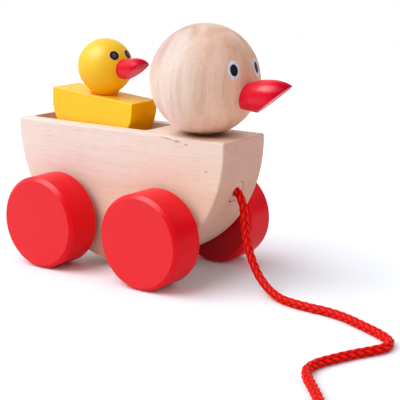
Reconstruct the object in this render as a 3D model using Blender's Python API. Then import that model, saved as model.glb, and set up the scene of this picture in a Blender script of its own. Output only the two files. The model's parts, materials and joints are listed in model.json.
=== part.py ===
"""A wooden pull-along duck with a loose duckling in its back, as separate pieces at real size.

Metres, +Z up, +X towards the beak. The floor is at z = 0.
"""

import math
from collections import namedtuple

import bmesh
import bpy
import numpy as np
from mathutils import Vector

# Fits
GLUE_GAP = 0.0003           # left between pieces that are glued or rest on each other
AXLE_PLAY = 0.0004          # between an axle and its bore in the hull, on the radius
CORD_PLAY = 0.0004          # between the cord and the plug it runs through, on the radius

# Wheels and axles
WHEELBASE = 0.0690
WHEEL_DIAMETER = 0.0500
WHEEL_WIDTH = 0.0215
WHEEL_ROUNDING = 0.0020
WHEEL_SIDE_GAP = 0.0031     # between a wheel and the hull's side
AXLE_DIAMETER = 0.0080
AXLE_SEAT = 0.0150          # depth of the blind hole in a wheel

# Hull, half of a thick disc with its flat side up
HULL_RADIUS = 0.0700
HULL_WIDTH = 0.0368
HULL_RISE = 0.0027          # straight stretch from the disc's middle up to the deck
HULL_LEAD = 0.0005          # the disc's middle lies this far ahead of the wheelbase's middle
HULL_ROUNDING = 0.0010
KEEL_BELOW_AXLES = 0.0214   # from the axles' middle down to the hull's lowest line

# Pocket in the deck
POCKET_LENGTH = 0.0817
POCKET_WIDTH = 0.0230
POCKET_DEPTH = 0.0122
POCKET_CORNER = 0.0030
POCKET_REAR_WALL = 0.0040   # from the hull's rear end to the pocket

# Mother's head
HEAD_DIAMETER = 0.0568
HEAD_FLAT_DIAMETER = 0.0215  # flat cut off below the ball
HEAD_STANDOFF = 0.0014      # the dowel holds the flat this far above the deck
HEAD_SETBACK = 0.0247       # from the hull's front end back to the head's middle
HEAD_TURN = math.radians(-3.2)
HEAD_DOWEL_DIAMETER = 0.0100
HEAD_DOWEL_IN_HEAD = 0.0160
HEAD_DOWEL_IN_HULL = 0.0130

# Mother's beak
BEAK_BASE_DIAMETER = 0.0136
BEAK_DIAMETER = 0.0166
BEAK_SWELL = 0.0109         # from the head's skin to the thickest place
BEAK_LENGTH = 0.0289        # from the head's skin to the tip that the flat cuts off
BEAK_SEAT = 0.0045          # how deep the base is let into the head
BEAK_CUT_START = 0.0050     # where the flat underneath starts
BEAK_CUT_ANGLE = math.radians(29.4)
BEAK_ROLL = math.radians(12.6)  # turns the flat to the duck's left
BEAK_DROP = math.radians(13.4)
BEAK_TILT = math.radians(6.8)
BEAK_SPIGOT_DIAMETER = 0.0060
BEAK_SPIGOT_LENGTH = 0.0080

# Duckling's body, which rocks on its round underside
BLOCK_LENGTH = 0.0569
BLOCK_SIDE_PLAY = 0.0008    # between the block and the pocket's side wall
BLOCK_END_RISE = 0.0055     # upright stretch at each end
BLOCK_END_RADIUS = 0.0200
BLOCK_ROUNDING = 0.0006
ROCKER_RADIUS = 0.0430
DUCKLING_CLEARANCE = 0.0050  # from the duckling's beak to the mother's head, when the duckling is level
DUCKLING_TILT = math.radians(4.95)

# Duckling's head
SMALL_HEAD_DIAMETER = 0.0300
SMALL_NECK_DIAMETER = 0.0150
SMALL_NECK_HEIGHT = 0.0015
SMALL_HEAD_TURN = math.radians(-7.5)
SMALL_DOWEL_DIAMETER = 0.0060
SMALL_DOWEL_IN_HEAD = 0.0090
SMALL_DOWEL_IN_BODY = 0.0100

# Duckling's beak
SMALL_BEAK_BASE_DIAMETER = 0.0107
SMALL_BEAK_DIAMETER = 0.0114
SMALL_BEAK_SWELL = 0.0089
SMALL_BEAK_LENGTH = 0.0185
SMALL_BEAK_SEAT = 0.0028
SMALL_BEAK_CUT_START = 0.0025
SMALL_BEAK_CUT_ANGLE = math.radians(29.6)
SMALL_BEAK_ROLL = math.radians(3.8)
SMALL_BEAK_DROP = math.radians(-2.8)
SMALL_BEAK_TILT = math.radians(10.4)
SMALL_BEAK_SPIGOT_DIAMETER = 0.0040
SMALL_BEAK_SPIGOT_LENGTH = 0.0050

# Cord and what holds it in the hull
CORD_DIAMETER = 0.0040
CORD_BORE_DIAMETER = 0.0120
CORD_BORE_DEPTH = 0.0180
CORD_BORE_DROP = math.radians(21.5)  # below level, seen from the disc's middle
PLUG_LENGTH = 0.0090
PLUG_RECESS = 0.0003        # the plug's face lies this far under the hull's curve
KNOT_DIAMETER = 0.0086
KNOT_LENGTH = 0.0078
KNOT_TAIL = 0.0070

# Coil of the cord's far stretch
COIL_CENTRE = Vector((0.1860, -0.1640))
COIL_RADIUS = 0.0240
COIL_STEP = 0.0046          # from turn to turn, and from layer to layer
COIL_REVERSAL = 1.5         # turns wound inwards before the spiral turns outwards
COIL_TURNS = 2.5
COIL_START = math.radians(36.0)
COIL_END_RISE = 0.0024      # lifts the end so that its knot lies on the coil
TIE_AT = 0.25               # turns from the coil's start
TIE_REACH = 0.16            # turns over which the cord climbs onto the tie
TIE_WIDTH = 0.0050
TIE_THICKNESS = 0.0008
TIE_CLEARANCE = 0.0004

# The free stretch of cord by hand, from the plug to the coil, about the wheelbase's middle
CORD_REST = CORD_DIAMETER / 2 + 0.0001
CORD_ROUTE = (
    (0.0679, -0.0004, 0.0462),
    (0.0707, -0.0015, 0.0418),
    (0.0725, -0.0027, 0.0357),
    (0.0742, -0.0040, 0.0284),
    (0.0770, -0.0054, 0.0212),
    (0.0810, -0.0070, 0.0142),
    (0.0867, -0.0089, 0.0078),
    (0.0942, -0.0115, 0.0036),
    (0.1032, -0.0154, CORD_REST),
    (0.1126, -0.0179, CORD_REST),
    (0.1214, -0.0186, CORD_REST),
    (0.1307, -0.0189, CORD_REST),
    (0.1413, -0.0211, CORD_REST),
    (0.1535, -0.0262, CORD_REST),
    (0.1647, -0.0315, CORD_REST),
    (0.1725, -0.0372, CORD_REST),
    (0.1747, -0.0446, CORD_REST),
    (0.1723, -0.0513, CORD_REST),
    (0.1677, -0.0599, CORD_REST),
    (0.1634, -0.0696, CORD_REST),
    (0.1604, -0.0786, CORD_REST),
    (0.1606, -0.0866, CORD_REST),
    (0.1642, -0.0932, CORD_REST),
    (0.1705, -0.1002, CORD_REST),
    (0.1775, -0.1080, CORD_REST),
    (0.1845, -0.1166, CORD_REST),
    (0.1915, -0.1262, CORD_REST),
    (0.1978, -0.1362, CORD_REST),
)
ROUTE_STEP = 1.25 * CORD_DIAMETER
LOOP_POINTS = 24

# Smoothness of the round pieces
WHEEL_SIDES = 40
HEAD_SIDES = 48
HEAD_RINGS = 22
SMALL_HEAD_SIDES = 36
SMALL_HEAD_RINGS = 16
BEAK_SIDES = 28
BEAK_NOSE_RINGS = 7
BEAK_BACK_RINGS = 3
DOWEL_SIDES = 24
HULL_ARC_STEPS = 56
CORNER_STEPS = 4
END_ARC_STEPS = 8
ROCKER_ARC_STEPS = 12
KNOT_RINGS = 8
WELD = 0.000001
SHARP_ANGLE = math.radians(35.0)

# Places that follow from the sizes
AXLE_HEIGHT = WHEEL_DIAMETER / 2
DISC_HEIGHT = AXLE_HEIGHT - KEEL_BELOW_AXLES + HULL_RADIUS
DECK_HEIGHT = DISC_HEIGHT + HULL_RISE
HULL_REAR = HULL_LEAD - HULL_RADIUS
HULL_FRONT = HULL_LEAD + HULL_RADIUS
POCKET_REAR = HULL_REAR + POCKET_REAR_WALL
POCKET_MIDDLE = POCKET_REAR + POCKET_LENGTH / 2
POCKET_FLOOR = DECK_HEIGHT - POCKET_DEPTH
HEAD_X = HULL_FRONT - HEAD_SETBACK
DUCKLING_REACH = (
    SMALL_HEAD_DIAMETER / 2 * math.cos(SMALL_BEAK_DROP) + SMALL_BEAK_LENGTH * math.cos(SMALL_BEAK_TILT)
)
ROCKER_X = HEAD_X - HEAD_DIAMETER / 2 - DUCKLING_CLEARANCE - DUCKLING_REACH
ROCKER_CENTRE = Vector((ROCKER_X, 0.0, POCKET_FLOOR + GLUE_GAP + ROCKER_RADIUS))

BeakSizes = namedtuple(
    "BeakSizes",
    "base diameter swell length seat cut_start cut_angle roll drop tilt spigot_diameter spigot_length",
)
MOTHER_BEAK = BeakSizes(
    BEAK_BASE_DIAMETER, BEAK_DIAMETER, BEAK_SWELL, BEAK_LENGTH, BEAK_SEAT, BEAK_CUT_START,
    BEAK_CUT_ANGLE, BEAK_ROLL, BEAK_DROP, BEAK_TILT, BEAK_SPIGOT_DIAMETER, BEAK_SPIGOT_LENGTH,
)
DUCKLING_BEAK = BeakSizes(
    SMALL_BEAK_BASE_DIAMETER, SMALL_BEAK_DIAMETER, SMALL_BEAK_SWELL, SMALL_BEAK_LENGTH,
    SMALL_BEAK_SEAT, SMALL_BEAK_CUT_START, SMALL_BEAK_CUT_ANGLE, SMALL_BEAK_ROLL,
    SMALL_BEAK_DROP, SMALL_BEAK_TILT, SMALL_BEAK_SPIGOT_DIAMETER, SMALL_BEAK_SPIGOT_LENGTH,
)


def finish(name, colour, roughness):
    made = bpy.data.materials.new(name)
    made.use_nodes = True
    shader = made.node_tree.nodes["Principled BSDF"]
    shader.inputs["Base Color"].default_value = (*colour, 1.0)
    shader.inputs["Roughness"].default_value = roughness
    shader.inputs["Metallic"].default_value = 0.0
    return made


def mesh_of(shape, name):
    """Turns a bmesh into a mesh that is smooth where its faces nearly line up."""
    bmesh.ops.recalc_face_normals(shape, faces=shape.faces)
    mesh = bpy.data.meshes.new(name)
    shape.to_mesh(mesh)
    shape.free()
    mesh.shade_smooth()
    mesh.set_sharp_from_angle(angle=SHARP_ANGLE)
    return mesh


def turned_shape(profile, sides, ring=False):
    """A body of revolution about Z. The profile holds (radius, height) pairs from top to bottom;
    a ring's profile goes on to close on itself, and any other starts and ends on the axis."""
    shape = bmesh.new()
    points = [shape.verts.new((radius, 0.0, height)) for radius, height in profile]
    nexts = points[1:] + points[:1] if ring else points[1:]
    edges = [shape.edges.new(pair) for pair in zip(points, nexts)]
    bmesh.ops.spin(
        shape, geom=points + edges, axis=(0.0, 0.0, 1.0), cent=(0.0, 0.0, 0.0),
        angle=2 * math.pi, steps=sides, use_merge=True,
    )
    bmesh.ops.remove_doubles(shape, verts=shape.verts, dist=WELD)
    return shape


def slab_shape(outline, width):
    """A slab of that width along Y, whose outline holds (x, z) pairs."""
    shape = bmesh.new()
    corners = [shape.verts.new((x, -width / 2, z)) for x, z in outline]
    side = shape.faces.new(corners)
    pulled = bmesh.ops.extrude_face_region(shape, geom=[side])
    moved = [item for item in pulled["geom"] if isinstance(item, bmesh.types.BMVert)]
    bmesh.ops.translate(shape, verts=moved, vec=(0.0, width, 0.0))
    return shape


def arc(centre, radius, start, end, steps):
    """(x, z) pairs on an arc, both ends included."""
    angles = np.linspace(start, end, steps + 1)
    return [(centre[0] + radius * math.cos(a), centre[1] + radius * math.sin(a)) for a in angles]


def rod_profile(radius, top, bottom):
    return [(0.0, top), (radius, top), (radius, bottom), (0.0, bottom)]


def add_piece(name, mesh, look, parent, place=(0.0, 0.0, 0.0), turn=(0.0, 0.0, 0.0)):
    piece = bpy.data.objects.new(name, mesh)
    bpy.context.scene.collection.objects.link(piece)
    piece.data.materials.append(look)
    piece.parent = parent
    piece.location = place
    piece.rotation_euler = turn
    return piece


def add_pivot(name, parent, place=(0.0, 0.0, 0.0), turn=(0.0, 0.0, 0.0)):
    pivot = bpy.data.objects.new(name, None)
    bpy.context.scene.collection.objects.link(pivot)
    pivot.parent = parent
    pivot.location = place
    pivot.rotation_euler = turn
    return pivot


def round_edges(piece, width, segments):
    bevel = piece.modifiers.new("rounding", "BEVEL")
    bevel.width = width
    bevel.segments = segments
    bevel.limit_method = "ANGLE"
    bevel.angle_limit = SHARP_ANGLE


def cut(piece, name, shape, place=(0.0, 0.0, 0.0), turn=(0.0, 0.0, 0.0)):
    """Takes a shape away from a piece. The shape is placed in the frame that the piece sits in."""
    cutter = bpy.data.objects.new(name, mesh_of(shape, name))
    bpy.context.scene.collection.objects.link(cutter)
    cutter.parent = piece.parent
    cutter.location = place
    cutter.rotation_euler = turn
    cutter.hide_render = True
    cutter.display_type = "WIRE"
    boolean = piece.modifiers.new(name, "BOOLEAN")
    boolean.operation = "DIFFERENCE"
    boolean.object = cutter


def add_dowel(name, radius, top, bottom, parent, place, look):
    """An upright dowel. Its ends are given from the place, up and down."""
    shape = turned_shape(rod_profile(radius, top, -bottom), DOWEL_SIDES)
    add_piece(name, mesh_of(shape, name), look, parent, place)


def cut_dowel_seat(piece, radius, top, bottom, place):
    shape = turned_shape(rod_profile(radius + GLUE_GAP, top, -bottom), DOWEL_SIDES)
    cut(piece, f"{piece.name}_dowel_seat", shape, place)


# Hull

def cord_bore_direction():
    """Out of the hull, square to its curved front."""
    return Vector((math.cos(CORD_BORE_DROP), 0.0, -math.sin(CORD_BORE_DROP)))


def cord_exit():
    """Where the middle of the cord's bore meets the hull's curve."""
    return Vector((HULL_LEAD, 0.0, DISC_HEIGHT)) + HULL_RADIUS * cord_bore_direction()


def cord_bore_turn():
    """Turns +Z to run out along the cord's bore."""
    return (0.0, math.pi / 2 + CORD_BORE_DROP, 0.0)


def hull_outline():
    curve = arc((HULL_LEAD, DISC_HEIGHT), HULL_RADIUS, 0.0, -math.pi, HULL_ARC_STEPS)
    return [(HULL_REAR, DECK_HEIGHT), (HULL_FRONT, DECK_HEIGHT)] + curve


def pocket_shape():
    """A box with round upright corners, from the pocket's floor to above the deck."""
    half_length = POCKET_LENGTH / 2 - POCKET_CORNER
    half_width = POCKET_WIDTH / 2 - POCKET_CORNER
    outline = []
    for quarter, (along, across) in enumerate(((1, 1), (-1, 1), (-1, -1), (1, -1))):
        middle = (along * half_length, across * half_width)
        start = quarter * math.pi / 2
        outline += arc(middle, POCKET_CORNER, start, start + math.pi / 2, CORNER_STEPS)
    shape = bmesh.new()
    corners = [shape.verts.new((x, y, 0.0)) for x, y in outline]
    floor = shape.faces.new(corners)
    pulled = bmesh.ops.extrude_face_region(shape, geom=[floor])
    moved = [item for item in pulled["geom"] if isinstance(item, bmesh.types.BMVert)]
    bmesh.ops.translate(shape, verts=moved, vec=(0.0, 0.0, 2 * POCKET_DEPTH))
    return shape


def add_hull(parent, look):
    hull = add_piece("hull", mesh_of(slab_shape(hull_outline(), HULL_WIDTH), "hull"), look, parent)
    round_edges(hull, HULL_ROUNDING, 3)
    cut(hull, "pocket_space", pocket_shape(), (POCKET_MIDDLE, 0.0, POCKET_FLOOR))
    for name, x in (("front_axle_bore", WHEELBASE / 2), ("rear_axle_bore", -WHEELBASE / 2)):
        bore = rod_profile(AXLE_DIAMETER / 2 + AXLE_PLAY, HULL_WIDTH, -HULL_WIDTH)
        cut(hull, name, turned_shape(bore, WHEEL_SIDES), (x, 0.0, AXLE_HEIGHT), (math.pi / 2, 0.0, 0.0))
    bore = rod_profile(CORD_BORE_DIAMETER / 2, CORD_BORE_DEPTH, -CORD_BORE_DEPTH)
    cut(hull, "cord_bore", turned_shape(bore, DOWEL_SIDES), cord_exit(), cord_bore_turn())
    seat = (HEAD_X, 0.0, DECK_HEIGHT)
    cut_dowel_seat(hull, HEAD_DOWEL_DIAMETER / 2, HEAD_DOWEL_IN_HULL, HEAD_DOWEL_IN_HULL + GLUE_GAP, seat)


# Heads and beaks

def ball_rise(radius, neck_radius, neck_height):
    """From the foot, of a neck or of a flat without one, up to the ball's middle."""
    return math.sqrt(radius**2 - neck_radius**2) + neck_height


def ball_profile(radius, neck_radius, neck_height, rings):
    """A ball about the origin, cut flat below. The flat lies on the ball itself or ends a short neck."""
    foot = -ball_rise(radius, neck_radius, neck_height)
    last = math.pi - math.asin(neck_radius / radius)
    skin = [(radius * math.sin(a), radius * math.cos(a)) for a in np.linspace(0.0, last, rings + 1)]
    neck = [(neck_radius, foot)] if neck_height > 0.0 else []
    return skin + neck + [(0.0, foot)]


def beak_profile(sizes, gap=0.0):
    """(radius, distance from the head's skin) from the tip back to the spigot's end. With a gap it is
    the profile of the seat that the beak is let into."""
    thick = sizes.diameter / 2 + gap
    nose = sizes.length - sizes.swell
    spigot = sizes.spigot_diameter / 2 + gap
    floor = -sizes.seat - gap
    end = floor - sizes.spigot_length
    angles = np.linspace(0.0, math.pi / 2, BEAK_NOSE_RINGS + 1)
    points = [(thick * math.sin(a), sizes.swell + nose * math.cos(a)) for a in angles]
    for z in np.linspace(sizes.swell, floor, BEAK_BACK_RINGS + 1)[1:]:
        points.append((beak_back_radius(sizes, z) + gap, z))
    return points + [(spigot, floor), (spigot, end), (0.0, end)]


def beak_back_radius(sizes, z):
    """The beak's radius behind its thickest place."""
    base = sizes.base / 2
    thick = sizes.diameter / 2
    return base + (thick - base) * math.sin(math.pi / 2 * z / sizes.swell)


def beak_shape(sizes):
    """The turned beak, with the flat cut off underneath. +Z runs to the tip and +X down."""
    shape = turned_shape(beak_profile(sizes), BEAK_SIDES)
    towards = Vector((math.cos(sizes.roll), math.sin(sizes.roll), 0.0))
    axis = Vector((0.0, 0.0, 1.0))
    corner = beak_back_radius(sizes, sizes.cut_start) * towards + sizes.cut_start * axis
    away = math.cos(sizes.cut_angle) * towards + math.sin(sizes.cut_angle) * axis
    everything = shape.verts[:] + shape.edges[:] + shape.faces[:]
    halved = bmesh.ops.bisect_plane(
        shape, geom=everything, dist=WELD, plane_co=corner, plane_no=away, clear_outer=True
    )
    rim = [item for item in halved["geom_cut"] if isinstance(item, bmesh.types.BMEdge)]
    bmesh.ops.contextual_create(shape, geom=rim)
    return shape


def add_head(name, radius, neck, sides, rings, parent, foot, look):
    """A ball whose flat foot is at that place. Returns it and its middle."""
    neck_radius, neck_height = neck
    middle = Vector(foot) + Vector((0.0, 0.0, ball_rise(radius, neck_radius, neck_height)))
    shape = turned_shape(ball_profile(radius, neck_radius, neck_height, rings), sides)
    return add_piece(name, mesh_of(shape, name), look, parent, middle), middle


def add_beak(name, sizes, head, middle, radius, yaw, look):
    """A beak let into a head, whose middle, radius and turn to the side are given."""
    level = radius * math.cos(sizes.drop)
    skin = middle + Vector((level * math.cos(yaw), level * math.sin(yaw), -radius * math.sin(sizes.drop)))
    turn = (0.0, math.pi / 2 - sizes.tilt, yaw)
    add_piece(name, mesh_of(beak_shape(sizes), name), look, head.parent, skin, turn)
    cut(head, f"{name}_seat", turned_shape(beak_profile(sizes, GLUE_GAP), BEAK_SIDES), skin, turn)


def add_mother_head(parent, wood, red):
    deck = Vector((HEAD_X, 0.0, DECK_HEIGHT))
    foot = deck + Vector((0.0, 0.0, HEAD_STANDOFF))
    radius = HEAD_DIAMETER / 2
    no_neck = (HEAD_FLAT_DIAMETER / 2, 0.0)
    head, middle = add_head("mother_head", radius, no_neck, HEAD_SIDES, HEAD_RINGS, parent, foot, wood)
    dowel = HEAD_DOWEL_DIAMETER / 2
    cut_dowel_seat(head, dowel, HEAD_DOWEL_IN_HEAD + GLUE_GAP, HEAD_DOWEL_IN_HEAD, foot)
    top = HEAD_STANDOFF + HEAD_DOWEL_IN_HEAD
    add_dowel("head_dowel", dowel, top, HEAD_DOWEL_IN_HULL, parent, deck, wood)
    add_beak("mother_beak", MOTHER_BEAK, head, middle, radius, HEAD_TURN, red)


# Wheels

def wheel_profile():
    """A disc with rounded rims and a blind hole in its inner face. The inner face is at z = 0."""
    radius = WHEEL_DIAMETER / 2
    rim = radius - WHEEL_ROUNDING
    hole = AXLE_DIAMETER / 2 + GLUE_GAP
    outer = arc((rim, WHEEL_WIDTH - WHEEL_ROUNDING), WHEEL_ROUNDING, math.pi / 2, 0.0, CORNER_STEPS)
    inner = arc((rim, WHEEL_ROUNDING), WHEEL_ROUNDING, 0.0, -math.pi / 2, CORNER_STEPS)
    return [(0.0, WHEEL_WIDTH)] + outer + inner + [(hole, 0.0), (hole, AXLE_SEAT), (0.0, AXLE_SEAT)]


def add_wheel_set(end, x, parent, wood, red):
    """An axle with a wheel glued to each end, about a pivot on the axle's line."""
    pivot = add_pivot(f"{end}_axle_pivot", parent, (x, 0.0, AXLE_HEIGHT))
    inner_face = HULL_WIDTH / 2 + WHEEL_SIDE_GAP
    reach = inner_face + AXLE_SEAT - GLUE_GAP
    axle = turned_shape(rod_profile(AXLE_DIAMETER / 2, reach, -reach), WHEEL_SIDES)
    add_piece(f"{end}_axle", mesh_of(axle, f"{end}_axle"), wood, pivot, turn=(math.pi / 2, 0.0, 0.0))
    for side, sign in (("left", 1), ("right", -1)):
        name = f"{end}_{side}_wheel"
        mesh = mesh_of(turned_shape(wheel_profile(), WHEEL_SIDES), name)
        add_piece(name, mesh, red, pivot, (0.0, sign * inner_face, 0.0), (-sign * math.pi / 2, 0.0, 0.0))


# Duckling

def block_outline():
    """The block's side about the rocker's middle: upright ends, round corners and a round underside.
    Returns the (x, z) pairs and the height of its top."""
    corner_x = BLOCK_LENGTH / 2 - BLOCK_END_RADIUS
    corner_z = -math.sqrt((ROCKER_RADIUS - BLOCK_END_RADIUS) ** 2 - corner_x**2)
    meet = math.atan2(corner_z, corner_x)
    top = corner_z + BLOCK_END_RISE
    front = arc((corner_x, corner_z), BLOCK_END_RADIUS, 0.0, meet, END_ARC_STEPS)
    under = arc((0.0, 0.0), ROCKER_RADIUS, meet, -math.pi - meet, ROCKER_ARC_STEPS)
    rear = arc((-corner_x, corner_z), BLOCK_END_RADIUS, -math.pi - meet, -math.pi, END_ARC_STEPS)
    half = BLOCK_LENGTH / 2
    return [(-half, top), (half, top)] + front + under[1:-1] + rear, top


def add_duckling(parent, yellow, red, wood):
    pivot = add_pivot("duckling_pivot", parent, ROCKER_CENTRE, (0.0, DUCKLING_TILT, 0.0))
    outline, top = block_outline()
    width = POCKET_WIDTH - 2 * BLOCK_SIDE_PLAY
    body = add_piece("duckling_body", mesh_of(slab_shape(outline, width), "duckling_body"), yellow, pivot)
    round_edges(body, BLOCK_ROUNDING, 2)
    dowel = SMALL_DOWEL_DIAMETER / 2
    seat = Vector((0.0, 0.0, top))
    cut_dowel_seat(body, dowel, SMALL_DOWEL_IN_BODY, SMALL_DOWEL_IN_BODY + GLUE_GAP, seat)
    foot = seat + Vector((0.0, 0.0, GLUE_GAP))
    radius = SMALL_HEAD_DIAMETER / 2
    neck = (SMALL_NECK_DIAMETER / 2, SMALL_NECK_HEIGHT)
    head, middle = add_head(
        "duckling_head", radius, neck, SMALL_HEAD_SIDES, SMALL_HEAD_RINGS, pivot, foot, yellow
    )
    cut_dowel_seat(head, dowel, SMALL_DOWEL_IN_HEAD, SMALL_DOWEL_IN_HEAD, foot)
    add_dowel("duckling_head_dowel", dowel, SMALL_DOWEL_IN_HEAD, SMALL_DOWEL_IN_BODY, pivot, seat, wood)
    add_beak("duckling_beak", DUCKLING_BEAK, head, middle, radius, SMALL_HEAD_TURN, red)


# Cord

def smooth_line(points, fineness=24):
    """A dense smooth line through the points."""
    points = np.array(points)
    padded = np.vstack([2 * points[0] - points[1], points, 2 * points[-1] - points[-2]])
    share = np.linspace(0.0, 1.0, fineness, endpoint=False)[:, None]
    stretches = []
    for a, b, c, d in zip(padded, padded[1:], padded[2:], padded[3:]):
        bend = 2 * a - 5 * b + 4 * c - d
        twist = 3 * b - a - 3 * c + d
        stretches.append(b + 0.5 * ((c - a) * share + bend * share**2 + twist * share**3))
    return np.vstack(stretches + [points[-1:]])


def evenly_spaced(line, step):
    """The line's points at equal steps along it, both ends included."""
    run = np.concatenate([[0.0], np.cumsum(np.linalg.norm(np.diff(line, axis=0), axis=1))])
    marks = np.linspace(0.0, run[-1], round(run[-1] / step) + 1)
    return np.column_stack([np.interp(marks, run, line[:, i]) for i in range(3)])


def tie_lift(turns):
    """How far the cord is lifted to pass over the tie's lower side, at a place along the coil."""
    away = abs((turns - TIE_AT + 0.5) % 1.0 - 0.5)
    if away > TIE_REACH:
        return 0.0
    return (TIE_THICKNESS + 2 * TIE_CLEARANCE) * math.cos(math.pi / 2 * away / TIE_REACH) ** 2


def coil_place(turns):
    """The middle of the coiled cord after that many turns, wound clockwise as seen from above."""
    inwards = min(turns, 2 * COIL_REVERSAL - turns)
    radius = COIL_RADIUS - COIL_STEP * inwards
    climb = min(max(2 * (turns - COIL_REVERSAL) + 0.5, 0.0), 1.0)
    layer = COIL_STEP * climb**2 * (3 - 2 * climb)
    last = min(max((turns - COIL_TURNS) / TIE_REACH + 1.0, 0.0), 1.0)
    height = CORD_REST + layer + tie_lift(turns) + COIL_END_RISE * last**2 * (3 - 2 * last)
    angle = COIL_START - 2 * math.pi * turns
    return np.array(
        [COIL_CENTRE.x + radius * math.cos(angle), COIL_CENTRE.y + radius * math.sin(angle), height]
    )


def coil_heading(turns):
    """The cord's direction along the coil, level."""
    angle = COIL_START - 2 * math.pi * turns
    return np.array([math.sin(angle), -math.cos(angle), 0.0])


def coil_line():
    """The coil's points, with a straight diameter of cord at each end."""
    count = round(COIL_TURNS * LOOP_POINTS)
    turns = [coil_place(COIL_TURNS * i / count) for i in range(count + 1)]
    entry = turns[0] - CORD_DIAMETER * coil_heading(0.0)
    leaving = turns[-1] + CORD_DIAMETER * coil_heading(COIL_TURNS)
    return np.vstack([entry, turns, leaving])


def least_gap(line, apart):
    """The least clear distance of a cord's line from itself, between points that many places apart."""
    spans = np.linalg.norm(line[:, None] - line[None, :], axis=2)
    index = np.arange(len(line))
    near = np.abs(index[:, None] - index[None, :]) < apart
    spans[near] = np.inf
    return spans.min() - CORD_DIAMETER


def add_cord(name, line, smoothness, parent, look):
    curve = bpy.data.curves.new(name, "CURVE")
    curve.dimensions = "3D"
    curve.bevel_depth = CORD_DIAMETER / 2
    curve.bevel_resolution = smoothness
    curve.use_fill_caps = True
    spline = curve.splines.new("POLY")
    spline.points.add(len(line) - 1)
    for point, place in zip(spline.points, line):
        point.co = (*place, 1.0)
    return add_piece(name, curve, look, parent)


def knot_profile(tail):
    """A knot about the origin, pulled tight to a bead. Its flat ends have the cord's size, and a tail hangs
    below."""
    end = CORD_DIAMETER / 2
    half = KNOT_LENGTH / 2
    bulge = KNOT_DIAMETER / 2 - end
    angles = np.linspace(0.0, math.pi, KNOT_RINGS + 1)
    skin = [(end + bulge * math.sin(a), half * math.cos(a)) for a in angles]
    last = [(end, -half - tail)] if tail else []
    return [(0.0, half)] + skin + last + [(0.0, -half - tail)]


def turn_towards(heading):
    """Turns -Z to run along a level heading."""
    return (0.0, -math.pi / 2, math.atan2(heading[1], heading[0]))


def add_tie(parent, look):
    """A band round the coil's turns, lying on the floor."""
    turns = [TIE_AT + whole for whole in range(math.ceil(COIL_TURNS)) if TIE_AT + whole <= COIL_TURNS]
    places = [coil_place(turn) for turn in turns]
    centre = np.array([COIL_CENTRE.x, COIL_CENTRE.y, 0.0])
    radii = [np.linalg.norm((place - centre)[:2]) for place in places]
    spare = CORD_DIAMETER / 2 + TIE_CLEARANCE
    inner = min(radii) - spare
    outer = max(radii) + spare
    top = max(place[2] for place in places) + spare
    bottom = TIE_THICKNESS + TIE_CLEARANCE / 4
    shape = slab_shape(band_outline(inner, outer, bottom, top, TIE_THICKNESS), TIE_WIDTH)
    name = "coil_tie"
    angle = COIL_START - 2 * math.pi * TIE_AT
    tie = add_piece(name, mesh_of(shape, name), look, parent, centre, (0.0, 0.0, angle))
    hollow = slab_shape(band_outline(inner, outer, bottom, top, 0.0), 2 * TIE_WIDTH)
    cut(tie, "coil_tie_space", hollow, centre, (0.0, 0.0, angle))


def band_outline(inner, outer, bottom, top, thickness):
    """A box with round corners, grown by the band's thickness. Its pairs hold the distance from the coil's
    middle and the height."""
    corner = CORD_DIAMETER / 2
    points = []
    places = ((outer, top), (inner, top), (inner, bottom), (outer, bottom))
    for quarter, (x, z) in enumerate(places):
        middle = (x - corner if x == outer else x + corner, z - corner if z == top else z + corner)
        start = quarter * math.pi / 2
        points += arc(middle, corner + thickness, start, start + math.pi / 2, CORNER_STEPS)
    return points


def add_cord_and_anchor(parent, wood, red, tape):
    out = cord_bore_direction()
    face = cord_exit() - PLUG_RECESS * out
    hole = CORD_DIAMETER / 2 + CORD_PLAY
    rim = CORD_BORE_DIAMETER / 2 - GLUE_GAP
    section = [(hole, 0.0), (rim, 0.0), (rim, -PLUG_LENGTH), (hole, -PLUG_LENGTH)]
    plug = turned_shape(section, DOWEL_SIDES, ring=True)
    add_piece("cord_plug", mesh_of(plug, "cord_plug"), wood, parent, face, cord_bore_turn())
    back = face - (PLUG_LENGTH + GLUE_GAP) * out
    anchor = back - (GLUE_GAP + KNOT_LENGTH / 2) * out
    knot = turned_shape(knot_profile(0.0), DOWEL_SIDES)
    add_piece("cord_anchor_knot", mesh_of(knot, "cord_anchor_knot"), red, parent, anchor, cord_bore_turn())

    coil = coil_line()
    print(f"least gap in the coil: {1000 * least_gap(coil, LOOP_POINTS // 2):.2f} mm")
    add_cord("cord_coil", coil, 1, parent, red)
    into = coil_heading(0.0)
    end = coil[0] - GLUE_GAP * into
    mouth = face + CORD_DIAMETER / 4 * out
    route = [mouth] + list(CORD_ROUTE) + [end - CORD_DIAMETER * into, end]
    free = evenly_spaced(smooth_line([tuple(place) for place in route]), ROUTE_STEP)
    add_cord("pull_cord", np.vstack([back, free]), 2, parent, red)
    leaving = coil_heading(COIL_TURNS)
    place = coil[-1] + (GLUE_GAP + KNOT_LENGTH / 2) * leaving
    knot = turned_shape(knot_profile(KNOT_TAIL), DOWEL_SIDES)
    add_piece("cord_end_knot", mesh_of(knot, "cord_end_knot"), red, parent, place, turn_towards(leaving))
    add_tie(parent, tape)


CORD_PIECES = ("pull_cord", "cord_coil", "coil_tie", "cord_end_knot", "cord_anchor_knot")


def stand_over_origin(toy):
    """Moves the toy so that the middle of its length, without the cord, is at x = 0."""
    bpy.context.view_layer.update()
    graph = bpy.context.evaluated_depsgraph_get()
    reach = []
    for piece in bpy.data.objects:
        if piece.type == "MESH" and not piece.hide_render and piece.name not in CORD_PIECES:
            shown = piece.evaluated_get(graph)
            reach += [(shown.matrix_world @ corner.co).x for corner in shown.data.vertices]
    toy.location.x = -(min(reach) + max(reach)) / 2
    print(f"wheelbase's middle at x = {1000 * toy.location.x:.3f} mm")


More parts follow.
